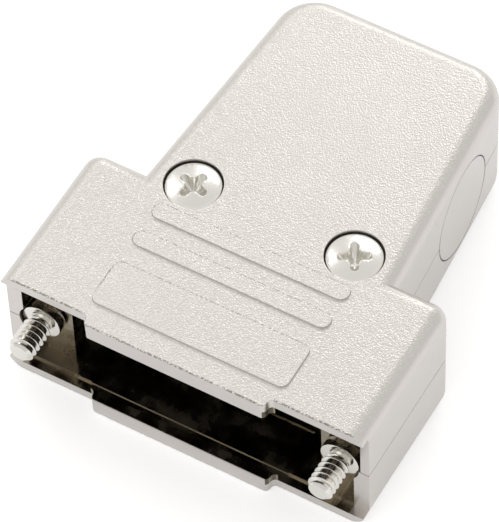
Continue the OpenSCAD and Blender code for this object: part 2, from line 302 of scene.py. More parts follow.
# How squarely a surface faces an axis where a corner ends, and where it is flat
CORNER_END = 0.90
FLAT_START = 0.985
ENTRY_Y = total_len - mm(12)
PLUG_R = mm(5.5)
JOINT_HALF = mm(0.06)
RIM_HALF = JOINT_HALF * 1.3
RIM_FROM = mm(11)
RIM_FULL = mm(11.5)
LIP_HALF = mm(10.4)
LIP_REACH = mm(1.1)
EDGE_BAND = mm(0.16)


def grained_faces(tree, height, up, face_height):
    """The outer faces, and the fillets for a little way down."""
    raised = ramp(tree, height, half_h + EAR_FLAT / 2, half_h + EAR_FLAT)
    level = math_node(tree, "MAXIMUM", ramp(tree, up, GRAIN_FROM, GRAIN_FULL), raised)
    lowest = math_node(tree, "SUBTRACT", face_height, GRAIN_REACH)
    return product(tree, ramp(tree, height, lowest, face_height), level)


def hollow(tree, across, along, height):
    """The room in the front box and in the neck, behind the slot and below the ceiling."""
    slope = (neck_front_half - neck_back_half) / (total_len - front_depth)
    drawn_in = math_node(tree, "MULTIPLY", math_node(tree, "SUBTRACT", along, front_depth), slope)
    from_side = math_node(tree, "ADD", across, drawn_in)
    past_side = math_node(tree, "SUBTRACT", from_side, neck_front_half - NECK_CORNER_R)
    past_end = math_node(tree, "SUBTRACT", along, total_len - NECK_CORNER_R)
    from_corner = diagonal(tree, positive(tree, past_side), positive(tree, past_end))
    in_neck = within(tree, from_corner, NECK_CORNER_R - wall / 2)
    in_box = product(
        tree,
        within(tree, along, front_depth - wall / 2),
        within(tree, across, half_w - side_wall / 2),
    )
    return product(
        tree,
        math_node(tree, "MAXIMUM", in_box, in_neck),
        ramp(tree, along, slot_depth + EAR_FLAT, slot_depth + 2 * EAR_FLAT),
        within(tree, height, CEILING_Z),
    )


def mouth(tree, across, along, height):
    """The opening between the lips, in front of the slot."""
    return product(
        tree,
        within(tree, height, SLOT_Z + EAR_FLAT),
        within(tree, across, half_w - side_wall),
        ramp(tree, along, MOUTH_FROM, MOUTH_FULL),
        within(tree, along, slot_depth + EAR_FLAT),
    )


# This mask only paints shade into the inside's corners
def corners(tree, facing, up):
    """Where a surface turns, so that it faces no axis squarely."""
    squarest = up
    for direction in ("X", "Y"):
        squarest = math_node(tree, "MAXIMUM", squarest, absolute(tree, facing[direction]))
    return ramp(tree, squarest, CORNER_END, FLAT_START, 1.0, 0.0)


def joints(tree, across, along, height, z):
    """The seam between the halves, and the rim round each cable entry."""
    round_entry = diagonal(tree, math_node(tree, "SUBTRACT", along, ENTRY_Y), z)
    off_rim = absolute(tree, math_node(tree, "SUBTRACT", round_entry, PLUG_R + JOINT_HALF))
    rim = product(tree, within(tree, off_rim, RIM_HALF), ramp(tree, across, RIM_FROM, RIM_FULL))
    return math_node(tree, "MAXIMUM", within(tree, height, JOINT_HALF), rim)


# This band only places painted shade specks along the front edges
def front_edges(tree, across, along, height):
    """A narrow band along the front edge of each outer face, which the lip brings forward."""
    lip_front = math_node(tree, "MULTIPLY", within(tree, across, LIP_HALF), -LIP_REACH)
    behind_front = math_node(tree, "SUBTRACT", along, lip_front)
    near_face = ramp(tree, height, half_h - EDGE_BAND, half_h - EDGE_BAND / 2)
    return product(tree, within(tree, behind_front, EDGE_BAND), near_face)


def make_zones():
    """Masks of a half shell: its grained faces, its inside, and the joints with its neighbours."""
    group, given, result = new_group(
        "casting zones",
        {"Position": "vector", "Normal": "vector", "Face Height": "float"},
        {
            "Grained": "float", "Inside": "float", "Corner": "float",
            "Joint": "float", "Front Edge": "float",
        },
    )
    xyz = split(group, given["Position"])
    facing = split(group, given["Normal"])
    across = absolute(group, xyz["X"], "distance from the middle")
    along = xyz["Y"]
    height = absolute(group, xyz["Z"], "distance from the parting plane")
    up = absolute(group, facing["Z"], "how level")
    inside = math_node(
        group, "MAXIMUM", hollow(group, across, along, height), mouth(group, across, along, height))
    masks = {
        "Grained": grained_faces(group, height, up, given["Face Height"]),
        "Inside": inside,
        "Corner": corners(group, facing, up),
        "Joint": joints(group, across, along, height, xyz["Z"]),
        "Front Edge": front_edges(group, across, along, height),
    }
    for name, mask in masks.items():
        group.links.new(mask, result[name])
    return group


zones = make_zones()
print("made group:", zones.name)

# %% [markdown]
# ## Satin unevenness
# Bright nickel is never quite even. Its tone drifts slowly over a face, and fine polishing marks
# spread its gloss. Two sizes of noise give both: a slow one for tone, and a fine one for gloss.

# %% Satin group
DRIFT_SIZE = mm(6)
DRIFT_DETAIL = 2.0
MARK_SIZE = mm(0.25)
MARK_DETAIL = 4.0


def make_satin():
    """Slow drift of tone and fine change of gloss, each around zero."""
    group, given, result = new_group(
        "satin metal",
        {"Position": "vector", "Drift": "float", "Marks": "float"},
        {"Tone": "float", "Gloss": "float", "Height": "float"},
    )
    slow = noise(group, given["Position"], DRIFT_SIZE, DRIFT_DETAIL, "slow drift")
    fine = noise(group, given["Position"], MARK_SIZE, MARK_DETAIL, "fine marks")
    centred_slow = math_node(group, "SUBTRACT", slow, 0.5)
    centred_fine = math_node(group, "SUBTRACT", fine, 0.5)
    group.links.new(math_node(group, "MULTIPLY", centred_slow, given["Drift"]), result["Tone"])
    group.links.new(math_node(group, "MULTIPLY", centred_fine, given["Marks"]), result["Gloss"])
    group.links.new(fine, result["Height"])
    return group


satin = make_satin()
print("made group:", satin.name)

# %% [markdown]
# ## Outlines of the raised panel and bars
# The panel and the bars stand a little above the face, and dark specks of painted shade are
# drawn in a row along each outline. The distance to a rounded rectangle has a short formula, so
# the outline can be drawn at its true place from the same sizes, however the mesh is cut.

# %% Outline group


def make_outline():
    """Distance from the outline of a rounded rectangle on the face, in metres."""
    group, given, result = new_group(
        "raised outline",
        {
            "Position": "vector", "Middle": "float", "Half Width": "float",
            "Half Depth": "float", "Corner": "float",
        },
        {"Distance": "float"},
    )
    xyz = split(group, given["Position"])
    from_middle = math_node(group, "SUBTRACT", xyz["Y"], given["Middle"])
    beyond = []
    for value, half in ((xyz["X"], given["Half Width"]), (from_middle, given["Half Depth"])):
        inner = math_node(group, "SUBTRACT", half, given["Corner"])
        beyond.append(math_node(group, "SUBTRACT", absolute(group, value), inner))
    outside = diagonal(group, positive(group, beyond[0]), positive(group, beyond[1]))
    inside = math_node(group, "MINIMUM", math_node(group, "MAXIMUM", *beyond), 0.0)
    from_corner = math_node(group, "ADD", outside, inside)
    signed = math_node(group, "SUBTRACT", from_corner, given["Corner"])
    group.links.new(absolute(group, signed), result["Distance"])
    return group


outline = make_outline()
print("made group:", outline.name)

# %% [markdown]
# ## Painted shade along an edge
# Along an edge, single dark specks of painted shade and dark reflection are drawn. The group takes
# any mask of an edge and lets fine noise decide which points of it are dark.

# %% Painted edge shade group
# Noise level of the rarest painted-shade specks, how far a full share lowers it, and how soft a
# speck's border is
RAREST_SPECK = 0.72
SHARE_REACH = 0.4
SPECK_BORDER = 0.08


def make_shade_specks():
    """Dark specks of painted shade scattered over a mask."""
    group, given, result = new_group(
        "painted edge shade",
        {"Position": "vector", "Mask": "float", "Pit Size": "float", "Share": "float"},
        {"Shade Specks": "float"},
    )
    speckle = add(group, "ShaderNodeTexNoise", "shade_specks")
    group.links.new(given["Position"], speckle.inputs["Vector"])
    group.links.new(math_node(group, "DIVIDE", 1.0, given["Pit Size"]), speckle.inputs["Scale"])
    speckle.inputs["Detail"].default_value = 1.0
    lowered = math_node(group, "MULTIPLY", given["Share"], SHARE_REACH)
    start = math_node(group, "SUBTRACT", RAREST_SPECK, lowered)
    end = math_node(group, "ADD", start, SPECK_BORDER)
    chosen = ramp(group, speckle.outputs["Fac"], start, end)
    group.links.new(math_node(group, "MULTIPLY", chosen, given["Mask"]), result["Shade Specks"])
    return group


shade_specks = make_shade_specks()
print("made group:", shade_specks.name)

# %% [markdown]
# ## Metal of the castings
# Zinc castings are plated with nickel, which is a warm pale grey. All three finishes are the same
# metal, so one material holds them, and the zone masks choose colour, gloss and grain depth. The
# zone masks also paint shade into the colour: the grain's pits, the sides, the inside and its
# corners are darker, and dark specks are painted along the edges of the face.

# %% Casting material
FACE_COLOUR = (0.800, 0.775, 0.735, 1)
# The grain's pits are painted darker: painted shade in the hollows between granules
GRAIN_PIT_SHADE_COLOUR = (0.640, 0.615, 0.580, 1)
# A darker copy of the face's nickel: the sides' shade is painted into their colour
SHADED_SIDE_COLOUR = (0.634, 0.606, 0.581, 1)
# The inside's dark brown colour is painted shade in the hollow
INSIDE_SHADE_COLOUR = (0.300, 0.264, 0.205, 1)
# Still darker in the inside's corners: painted shade
INSIDE_CORNER_SHADE_COLOUR = (0.110, 0.095, 0.070, 1)
# Dark specks of painted shade along the edges, and also the dark joints
EDGE_SHADE_AND_JOINT_COLOUR = (0.160, 0.140, 0.110, 1)
FACE_ROUGHNESS = 0.34
SIDE_ROUGHNESS = 0.30
INSIDE_ROUGHNESS = 0.12
SMEAR_ROUGHNESS = 0.36
GRANULE = mm(0.17)
GRAIN_DEPTH = mm(0.037)
CASTING_DRIFT = 0.06
CASTING_MARKS = 0.10
# Height of the faint marks and of the draw lines, as shares of the grain's
MARK_SHARE = 0.04
DRAW_LINE_SHARE = 1.2
DRAW_LINE_SIZE = mm(0.9)
DRAW_LINE_DETAIL = 3.0
DRAW_LINE_STRETCH = (1.0, 0.06, 1.0)
SMEAR_SIZE = mm(3)
SMEAR_DETAIL = 3.0
SMEAR_FROM = 0.45
SMEAR_FULL = 0.65
# Middle along Y, half width, half depth and corner radius of the panel and the bars
RAISED_SHAPES = (
    (mm(4.25), mm(10.8), mm(2.75), mm(0.9)),
    (mm(10.2), mm(10.9), mm(0.95), mm(0.93)),
    (mm(13.9), mm(10.9), mm(0.95), mm(0.93)),
)
# Half width of the line of painted-shade specks and its soft border, and the share of a shape over
# which it fades in
OUTLINE_HALF = mm(0.09)
OUTLINE_SOFT = mm(0.06)
FADED_PART = 0.8
TOP_HALF_FROM = mm(1)
SPECK_SIZE = mm(0.2)
SPECK_SHARE = 0.7
SPECK_SHADE_STRENGTH = 0.75
JOINT_STRENGTH = 0.85


def new_metal(name):
    """A new metallic material, its tree and its Principled BSDF."""
    material = bpy.data.materials.new(name)
    material.use_nodes = True
    tree = material.node_tree
    shader = tree.nodes["Principled BSDF"]
    shader.inputs["Metallic"].default_value = 1.0
    return material, tree, shader


def bump(tree, shader, height, depth):
    """Feeds a height, of a depth in metres, to the shader's normal."""
    node = add(tree, "ShaderNodeBump")
    node.inputs["Strength"].default_value = 1.0
    node.inputs["Distance"].default_value = depth
    tree.links.new(height, node.inputs["Height"])
    tree.links.new(node.outputs["Normal"], shader.inputs["Normal"])


def brighten(tree, colour, tone):
    """A colour made lighter or darker by a tone around zero."""
    scale = add(tree, "ShaderNodeVectorMath", "tone", operation="SCALE")
    feed(tree, colour if isinstance(colour, bpy.types.NodeSocket) else colour[:3], scale.inputs[0])
    tree.links.new(math_node(tree, "ADD", tone, 1.0), scale.inputs["Scale"])
    return scale.outputs[0]


def draw_lines(tree, position):
    """Faint lines along Y, where the mould's core slid out."""
    stretched = add(tree, "ShaderNodeVectorMath", "stretched along Y", operation="MULTIPLY")
    tree.links.new(position, stretched.inputs[0])
    stretched.inputs[1].default_value = DRAW_LINE_STRETCH
    lines = noise(tree, stretched.outputs[0], DRAW_LINE_SIZE, DRAW_LINE_DETAIL, "draw lines")
    return math_node(tree, "MULTIPLY", lines, DRAW_LINE_SHARE)


def raised_edges(tree, position, xyz):
    """Where painted shade specks go: outlines of the panel and the bars, which fade at their fronts
    and their right-hand ends.
    """
    raised = None
    for middle, half_width, half_depth, corner in RAISED_SHAPES:
        shape = place(tree, outline, Position=position, Middle=middle, Half_Width=half_width,
                      Half_Depth=half_depth, Corner=corner)
        line = product(
            tree,
            within(tree, shape["Distance"], OUTLINE_HALF, OUTLINE_SOFT),
            ramp(tree, xyz["Y"], middle - half_depth * FADED_PART, middle),
            within(tree, xyz["X"], half_width - corner, corner),
        )
        raised = line if raised is None else math_node(tree, "MAXIMUM", raised, line)
    return raised


def casting_colour(tree, position, zone, lumps):
    """Colour by zone, with painted shade in the grain's pits, on the sides, inside and in its
    corners, dark specks of painted shade along the edges of the face, and dark joints.
    """
    xyz = split(tree, position)
    on_top = ramp(tree, xyz["Z"], 0.0, TOP_HALF_FROM)
    raised = product(tree, raised_edges(tree, position, xyz), on_top, zone["Grained"])
    edge = math_node(tree, "MAXIMUM", raised, zone["Front Edge"])
    # Dark specks along the raised outlines and front edges are painted shade and dark reflection
    edge_shade = place(tree, shade_specks, Position=position, Mask=edge, Pit_Size=SPECK_SIZE, Share=SPECK_SHARE)
    # The darker pits are painted shade in the grain's hollows
    grain_shaded = mix_colour(tree, lumps["Tops"], GRAIN_PIT_SHADE_COLOUR, FACE_COLOUR, "painted shade in pits, or tops")
    # The sides' darker colour is painted shade
    outside = mix_colour(tree, zone["Grained"], SHADED_SIDE_COLOUR, grain_shaded, "shaded sides or face")
    speck_shade_mask = math_node(tree, "MULTIPLY", edge_shade["Shade Specks"], SPECK_SHADE_STRENGTH)
    specked = mix_colour(tree, speck_shade_mask, outside, EDGE_SHADE_AND_JOINT_COLOUR, "shade_specks")
    joint_mask = math_node(tree, "MULTIPLY", zone["Joint"], JOINT_STRENGTH)
    joined = mix_colour(tree, joint_mask, specked, EDGE_SHADE_AND_JOINT_COLOUR, "joints")
    # Painted shade in the inside's corners, darker than the rest of the inside
    inner = mix_colour(
        tree, zone["Corner"], INSIDE_SHADE_COLOUR, INSIDE_CORNER_SHADE_COLOUR, "painted shade in the corners")
    # The inside's dark colour is painted shade
    return mix_colour(tree, zone["Inside"], joined, inner, "outside or inside")


def casting_roughness(tree, position, zone):
    """Roughness by zone, with smears inside."""
    outer = ramp(tree, zone["Grained"], 0.0, 1.0, SIDE_ROUGHNESS, FACE_ROUGHNESS)
    patches = noise(tree, position, SMEAR_SIZE, SMEAR_DETAIL, "smears")
    smears = ramp(tree, patches, SMEAR_FROM, SMEAR_FULL, INSIDE_ROUGHNESS, SMEAR_ROUGHNESS)
    return ramp(tree, zone["Inside"], 0.0, 1.0, outer, smears)


def casting_relief(tree, position, zone, lumps, even):
    """Height by zone: grain on the face, draw lines inside, and faint marks everywhere."""
    grainy = math_node(tree, "MULTIPLY", lumps["Height"], zone["Grained"], "grain on the face")
    smooth = math_node(tree, "MULTIPLY", even["Height"], MARK_SHARE, "faint marks")
    streaks = math_node(tree, "MULTIPLY", draw_lines(tree, position), zone["Inside"], "lines inside")
    return math_node(tree, "ADD", math_node(tree, "ADD", grainy, smooth), streaks)


def make_casting_metal():
    """Nickel-plated casting: grained faces, satin sides and a polished inside, with shade painted
    into the colour of the sides, the inside and the grain's pits.
    """
    material, tree, shader = new_metal("nickel casting")
    on_part = add(tree, "ShaderNodeTexCoord").outputs
    position = on_part["Object"]
    zone = place(tree, zones, Position=position, Normal=on_part["Normal"], Face_Height=half_h)
    lumps = place(tree, grain, Position=position, Granule=GRANULE)
    even = place(tree, satin, Position=position, Drift=CASTING_DRIFT, Marks=CASTING_MARKS)
    colour = casting_colour(tree, position, zone, lumps)
    tree.links.new(brighten(tree, colour, even["Tone"]), shader.inputs["Base Color"])
    roughness = casting_roughness(tree, position, zone)
    uneven = math_node(tree, "ADD", roughness, even["Gloss"], clamp=True)
    tree.links.new(uneven, shader.inputs["Roughness"])
    bump(tree, shader, casting_relief(tree, position, zone, lumps, even), GRAIN_DEPTH)
    return material


casting_metal = make_casting_metal()

# %% [markdown]
# ## Metal of the plugs, the screws and the clamp
# The plugs are plated like the sides and take their darker colour, which is painted shade. The
# screws are turned steel with bright nickel, and the clamp's straps are pressed from sheet with a
# cooler zinc plating that has a faint brushed grain.

# %% Other metals
SCREW_COLOUR = (0.76, 0.745, 0.70, 1)
JACKSCREW_COLOUR = (0.74, 0.72, 0.68, 1)
STRAP_COLOUR = (0.66, 0.68, 0.70, 1)
SCREW_ROUGHNESS = 0.20
JACKSCREW_ROUGHNESS = 0.16
STRAP_ROUGHNESS = 0.34
PLAIN_MARK_DEPTH = mm(0.001)


def make_plain_metal(name, colour, roughness, drift=0.05, marks=0.08):
    """A bright metal with uneven gloss and faint marks."""
    material, tree, shader = new_metal(name)
    position = add(tree, "ShaderNodeTexCoord").outputs["Object"]
    even = place(tree, satin, Position=position, Drift=drift, Marks=marks)
    tree.links.new(brighten(tree, colour, even["Tone"]), shader.inputs["Base Color"])
    uneven = math_node(tree, "ADD", even["Gloss"], roughness, clamp=True)
    tree.links.new(uneven, shader.inputs["Roughness"])
    bump(tree, shader, even["Height"], PLAIN_MARK_DEPTH)
    return material


# The plugs' colour is the sides' painted shade
plug_metal = make_plain_metal("nickel plug", SHADED_SIDE_COLOUR, SIDE_ROUGHNESS)
screw_metal = make_plain_metal("bright screw", SCREW_COLOUR, SCREW_ROUGHNESS)
jackscrew_metal = make_plain_metal("bright jackscrew", JACKSCREW_COLOUR, JACKSCREW_ROUGHNESS)
strap_metal = make_plain_metal("zinc strap", STRAP_COLOUR, STRAP_ROUGHNESS, drift=0.10, marks=0.16)
for metal in (casting_metal, plug_metal, screw_metal, jackscrew_metal, strap_metal):
    print("material:", metal.name)

# %% [markdown]
# ## Soft edges
# No edge of a cast or pressed part is truly sharp. The construction's solids keep their exact mesh,
# so the edges are broken by modifiers: near-coplanar facets are joined, corners get a narrow round,
# and the normals are weighted by area so flats stay flat right up to the round.
#
# A bevel can keep clear of its neighbours by shrinking to suit the shortest edge of the whole mesh,
# and then it is quietly far narrower than it says. That limit is off here, so each round is as wide
# as it is written, and each width is one at which no face folds over another. A casting has a fine
# groove at its seam that would fold, so only the edges on its outer face are chosen: the raised
# shapes and the face's own outline. Its other edges stay as the solid has them. A cross recess has
# such short edges that its screw takes only a hair's breadth.

# %% Edge modifiers
FACET_ANGLE = math.radians(1.0)
SHARP_ANGLE = math.radians(32)
CHOSEN = "bevel_weight_edge"
FACE_SLACK = mm(0.01)
FIRST_WELD = mm(0.002)
LAST_WELD = mm(0.001)
ROUND_SEGMENTS = 2
CASTING_EDGE = mm(0.09)
PLUG_EDGE = mm(0.04)
STRAP_EDGE = mm(0.15)


def geometry_group(name):
    """An empty geometry group, the geometry it is given and the socket of its result."""
    group = bpy.data.node_groups.new(name, "GeometryNodeTree")
    for direction in ("INPUT", "OUTPUT"):
        group.interface.new_socket(
            name="Geometry", in_out=direction, socket_type="NodeSocketGeometry")
    given = add(group, "NodeGroupInput").outputs[0]
    result = add(group, "NodeGroupOutput").inputs[0]
    return group, given, result


def above(tree, value, limit):
    """True where a value is above a limit."""
    node = add(tree, "FunctionNodeCompare", data_type="FLOAT", operation="GREATER_THAN")
    tree.links.new(value, node.inputs[0])
    node.inputs[1].default_value = limit
    return node.outputs[0]


def sharp_edges(tree):
    """True on each edge whose faces meet at more than the sharp angle."""
    angle = add(tree, "GeometryNodeInputMeshEdgeAngle").outputs["Unsigned Angle"]
    return above(tree, angle, SHARP_ANGLE)


def make_smoother():
    """A geometry group that shades faces smooth and keeps edges sharp above an angle."""
    group, given, result = geometry_group("smooth by angle")
    normals = add(group, "GeometryNodeSetMeshNormal", mode="SHARPNESS")
    group.links.new(given, normals.inputs["Mesh"])
    group.links.new(sharp_edges(group), normals.inputs["Edge Sharpness"])
    group.links.new(normals.outputs[0], result)
    return group


def make_chooser():
    """A geometry group that marks the sharp edges lying on a casting's outer face."""
    group, given, result = geometry_group("edges of the outer face")
    xyz = split(group, add(group, "GeometryNodeInputPosition").outputs[0])
    on_face = above(group, absolute(group, xyz["Z"]), half_h - FACE_SLACK)
    both = add(group, "FunctionNodeBooleanMath", operation="AND")
    group.links.new(sharp_edges(group), both.inputs[0])
    group.links.new(on_face, both.inputs[1])
    mark = add(group, "GeometryNodeStoreNamedAttribute", data_type="FLOAT", domain="EDGE")
    mark.inputs["Name"].default_value = CHOSEN
    group.links.new(given, mark.inputs["Geometry"])
    group.links.new(both.outputs[0], mark.inputs["Value"])
    group.links.new(mark.outputs[0], result)
    return group


smoother = make_smoother()
chooser = make_chooser()


def modify(piece, name, kind, **settings):
    """Adds a modifier to a piece, with its properties set."""
    modifier = piece.modifiers.new(name, kind)
    for key, value in settings.items():
        setattr(modifier, key, value)


def break_edges(piece, width, face_only=False):
    """Rounds the corners of a piece, or only those on its outer face, and keeps its own mesh."""
    modify(piece, "weld", "WELD", merge_threshold=FIRST_WELD)
    modify(piece, "join facets", "DECIMATE", decimate_type="DISSOLVE", angle_limit=FACET_ANGLE)
    limit = {"limit_method": "ANGLE", "angle_limit": SHARP_ANGLE}
    if face_only:
        modify(piece, "choose edges", "NODES", node_group=chooser)
        limit = {"limit_method": "WEIGHT", "edge_weight": CHOSEN}
    modify(piece, "round", "BEVEL", width=width, segments=ROUND_SEGMENTS, loop_slide=False,
           use_clamp_overlap=False, miter_outer="MITER_ARC", **limit)
    modify(piece, "weld rounds", "WELD", merge_threshold=LAST_WELD)
    modify(piece, "smooth", "NODES", node_group=smoother)
    modify(piece, "flats", "WEIGHTED_NORMAL", keep_sharp=True)


def dress(name, material, width, face_only=False):
    """Gives a node of the construction its material and its rounded edges."""
    piece = nodes[name]
    piece.data.materials.clear()
    piece.data.materials.append(material)
    break_edges(piece, width, face_only)


for name in ("top_shell", "bottom_shell"):
    dress(name, casting_metal, CASTING_EDGE, face_only=True)
for name in ("plug_left", "plug_right"):
    dress(name, plug_metal, PLUG_EDGE)
for name in ("clamp_upper", "clamp_lower"):
    dress(name, strap_metal, STRAP_EDGE)
print("dressed the castings, the plugs and the straps")

# %% [markdown]
# ## Turned pieces
# Screws are turned and rolled, so each starts as a profile spun about its axis. A helper spins a
# list of points, and another cuts a recess with a Boolean, whose result replaces the mesh.

# %% Lathe helpers
MERGE = mm(0.0005)


def finished_object(name, mesh, material):
    """A new object in the scene, with one mesh and one material."""
    mesh.materials.clear()
    mesh.materials.append(material)
    piece = bpy.data.objects.new(name, mesh)
    bpy.context.scene.collection.objects.link(piece)
    return piece


def mesh_from(name, verts, faces):
    """A closed mesh without doubled points or empty faces, its normals outwards."""
    shape = bmesh.new()
    points = [shape.verts.new(v) for v in verts]
    for face in faces:
        shape.faces.new([points[i] for i in face])
    bmesh.ops.remove_doubles(shape, verts=shape.verts, dist=MERGE)
    bmesh.ops.dissolve_degenerate(shape, edges=shape.edges, dist=MERGE)
    bmesh.ops.recalc_face_normals(shape, faces=shape.faces)
    mesh = bpy.data.meshes.new(name)
    shape.to_mesh(mesh)
    shape.free()
    return mesh


def open_edges(mesh):
    """How many edges of a mesh are not shared by exactly two faces. A closed mesh has none."""
    shape = bmesh.new()
    shape.from_mesh(mesh)
    count = sum(1 for edge in shape.edges if len(edge.link_faces) != 2)
    shape.free()
    return count


def round_z(radius, height, i, steps):
    """Point number i of a level circle round Z."""
    angle = math.tau * i / steps
    return (radius * math.cos(angle), radius * math.sin(angle), height)


def rings(profile, steps):
    """The points of one circle for each (radius, height) of a profile."""
    return [round_z(radius, height, i, steps) for radius, height in profile for i in range(steps)]


def ring_faces(first, second, steps):
    """Quads between two rings of points."""
    faces = []
    for i in range(steps):
        j = (i + 1) % steps
        faces.append((first + i, first + j, second + j, second + i))
    return faces


def joined_rings(first, count, steps):
    """Quads between each ring and the next, for a count of rings in a row."""
    faces = []
    for start in range(first, first + (count - 1) * steps, steps):
        faces += ring_faces(start, start + steps, steps)
    return faces


def spin(name, profile, steps):
    """Spins (radius, height) points about Z into a closed mesh. Both ends lie on the axis."""
    return mesh_from(name, rings(profile, steps), joined_rings(0, len(profile), steps))


def cut(piece, cutter):
    """Takes the cutter's shape away from a piece, for good."""
    modify(piece, "cut", "BOOLEAN", operation="DIFFERENCE", solver="EXACT", object=cutter)
    evaluated = piece.evaluated_get(bpy.context.evaluated_depsgraph_get())
    mesh = bpy.data.meshes.new_from_object(evaluated)
    piece.modifiers.clear()
    piece.data = mesh
    bpy.data.objects.remove(cutter)


def arc_points(cx, cy, radius, start, end, count):
    """Points (radius, height) along an arc, its angles in degrees."""
    points = []
    for i in range(count + 1):
        angle = math.radians(start + (end - start) * i / count)
        points.append((cx + radius * math.cos(angle), cy + radius * math.sin(angle)))
    return points


# %% [markdown]
# ## Cross-recessed pan screws
# The head is a low dome on a short rim, with a four-armed recess pressed into it. The punch tapers,
# so the arms narrow towards the bottom, and their ends are rounded. The cutter is that punch.

# %% Cross recess cutter
# Share of the recess's depth, and scale of the punch there
PUNCH_TAPER = ((0.0, 0.98), (0.6, 0.74), (1.0, 0.25))
PUNCH_ABOVE = mm(0.5)
PUNCH_FLARE = 0.2


def cross_outline(span, width):
    """Outline of a cross whose arms flare a little at their ends, with fillets between the arms."""
    half, reach = width / 2, span / 2
    arm = (
        (half * 1.35, -half * 1.35),
        (half * 1.7, -half * 1.0),
        (reach - half * 0.6, -half * 0.92),
        (reach - half * 0.15, -half * 0.55),
        (reach, 0),
        (reach - half * 0.15, half * 0.55),
        (reach - half * 0.6, half * 0.92),
        (half * 1.7, half * 1.0),
    )
    points = []
    for quarter in range(4):
        turn = math.tau * quarter / 4
        cosine, sine = math.cos(turn), math.sin(turn)
        points.extend((x * cosine - y * sine, x * sine + y * cosine) for x, y in arm)
    return points


def cross_punch(span, width, depth, top):
    """The tapered punch of a cross recess, its tip at top minus depth."""
    outline = cross_outline(span, width)
    count = len(outline)
    levels = [(1.0 + PUNCH_FLARE * PUNCH_ABOVE / depth, top + PUNCH_ABOVE)]
    levels += [(scale, top - depth * share) for share, scale in PUNCH_TAPER]
    verts = [(x * scale, y * scale, height) for scale, height in levels for x, y in outline]
    last = (len(levels) - 1) * count
    faces = [tuple(range(count)), tuple(reversed(range(last, last + count)))]
    faces += joined_rings(0, len(levels), count)
    punch = bpy.data.objects.new("punch", mesh_from("punch", verts, faces))
    bpy.context.scene.collection.objects.link(punch)
    return punch


# %% Pan screws
SCREW_STEPS = 128
RIM_SHARE = 0.88
HEAD_ROUND = mm(0.12)
ROUND_SINK = 0.4
ROUND_POINTS = 4
DOME_POINTS = 14
SEAT_CHAMFER = mm(0.1)
SHANK_CHAMFER = mm(0.25)
SCREW_EDGE = mm(0.004)
# Span, arm width and depth of each kind of recess
ASSEMBLY_RECESS = (mm(3.6), mm(0.95), mm(1.5))
CLAMP_RECESS = (mm(2.5), mm(0.6), mm(1.1))
ASSEMBLY_SHANK_D = mm(3)
CLAMP_SHANK_D = mm(2.5)
# The assembly screws' seats are sunk below the face, and a clamp screw's below its own top
ASSEMBLY_SEAT = mm(2.6)
CLAMP_SEAT = mm(1.6)
ASSEMBLY_TURNS = {"left": math.radians(74), "right": math.radians(29)}
CLAMP_TURN = math.radians(20)


def pan_screw(name, low, high, seat_z, shank_d, recess, turn):
    """A pan screw that fills a box, its seat at a height and its recess turned about its axis."""
    length = seat_z - low[2]
    head_h = high[2] - seat_z
    radius = (high[0] - low[0]) / 2
    rim = head_h * RIM_SHARE
    dome = head_h - rim
    dome_r = (radius ** 2 + dome ** 2) / (2 * dome)
    edge_angle = math.degrees(math.acos((radius - HEAD_ROUND) / dome_r))
    round_middle = rim - HEAD_ROUND * ROUND_SINK
    profile = [
        (0, -length),
        (shank_d / 2 - SHANK_CHAMFER, -length),
        (shank_d / 2, -length + SHANK_CHAMFER),
        (shank_d / 2, 0),
        (radius - SEAT_CHAMFER, 0),
        (radius, SEAT_CHAMFER),
    ]
    profile += arc_points(
        radius - HEAD_ROUND, round_middle, HEAD_ROUND, 0, edge_angle, ROUND_POINTS)
    profile += arc_points(0, head_h - dome_r, dome_r, edge_angle, 90, DOME_POINTS)
    piece = finished_object(name, spin(name, profile, SCREW_STEPS), screw_metal)
    cut(piece, cross_punch(*recess, head_h))
    break_edges(piece, SCREW_EDGE)
    seat = ((low[0] + high[0]) / 2, (low[1] + high[1]) / 2, seat_z)
    piece.data.transform(Matrix.Translation(seat) @ Matrix.Rotation(turn, 4, "Z"))
    return piece


for side in SIDES:
    node_name = "assembly_screw_" + side
    low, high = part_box(node_name)
    screw = pan_screw("cross_screw_" + side, low, high, half_h - ASSEMBLY_SEAT,
                      ASSEMBLY_SHANK_D, ASSEMBLY_RECESS, ASSEMBLY_TURNS[side])
    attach(screw, "hood")
    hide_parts(node_name)
    print(screw.name, "polygons", len(screw.data.polygons), "open edges", open_edges(screw.data))

for side in SIDES:
    node_name = "clamp_screw_" + side
    low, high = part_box(node_name)
    screw = pan_screw("clamp_bolt_" + side, low, high, high[2] - CLAMP_SEAT,
                      CLAMP_SHANK_D, CLAMP_RECESS, CLAMP_TURN)
    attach(screw, "hood")
    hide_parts(node_name)
    print(screw.name, "polygons", len(screw.data.polygons), "open edges", open_edges(screw.data))

# %% [markdown]
# ## Jackscrews
# A jackscrew's thread is what the eye looks for, and rings would not do: a real thread climbs. The
# surface is a sheet of rows that follow the helix, so its crests are clean lines. Rows beyond the
# tip or the undercut fold onto the end's ring, and doubled points are then joined.

# %% Threaded surface
THREAD_PITCH = mm(0.635)
THREAD_R = mm(1.42)
ROOT_R = mm(1.08)
TIP_CHAMFER = mm(0.4)
# Turns of the helix that start before the tip, and turns more than the thread's length holds
TURNS_BEFORE = 2
TURNS_SPARE = 3
# Position in the pitch, and height from root to crest, of the thread's form
THREAD_FORM = (
    (0.00, 0.0), (0.16, 0.0), (0.42, 0.90), (0.46, 1.0), (0.54, 1.0), (0.58, 0.90), (0.84, 0.0),
)


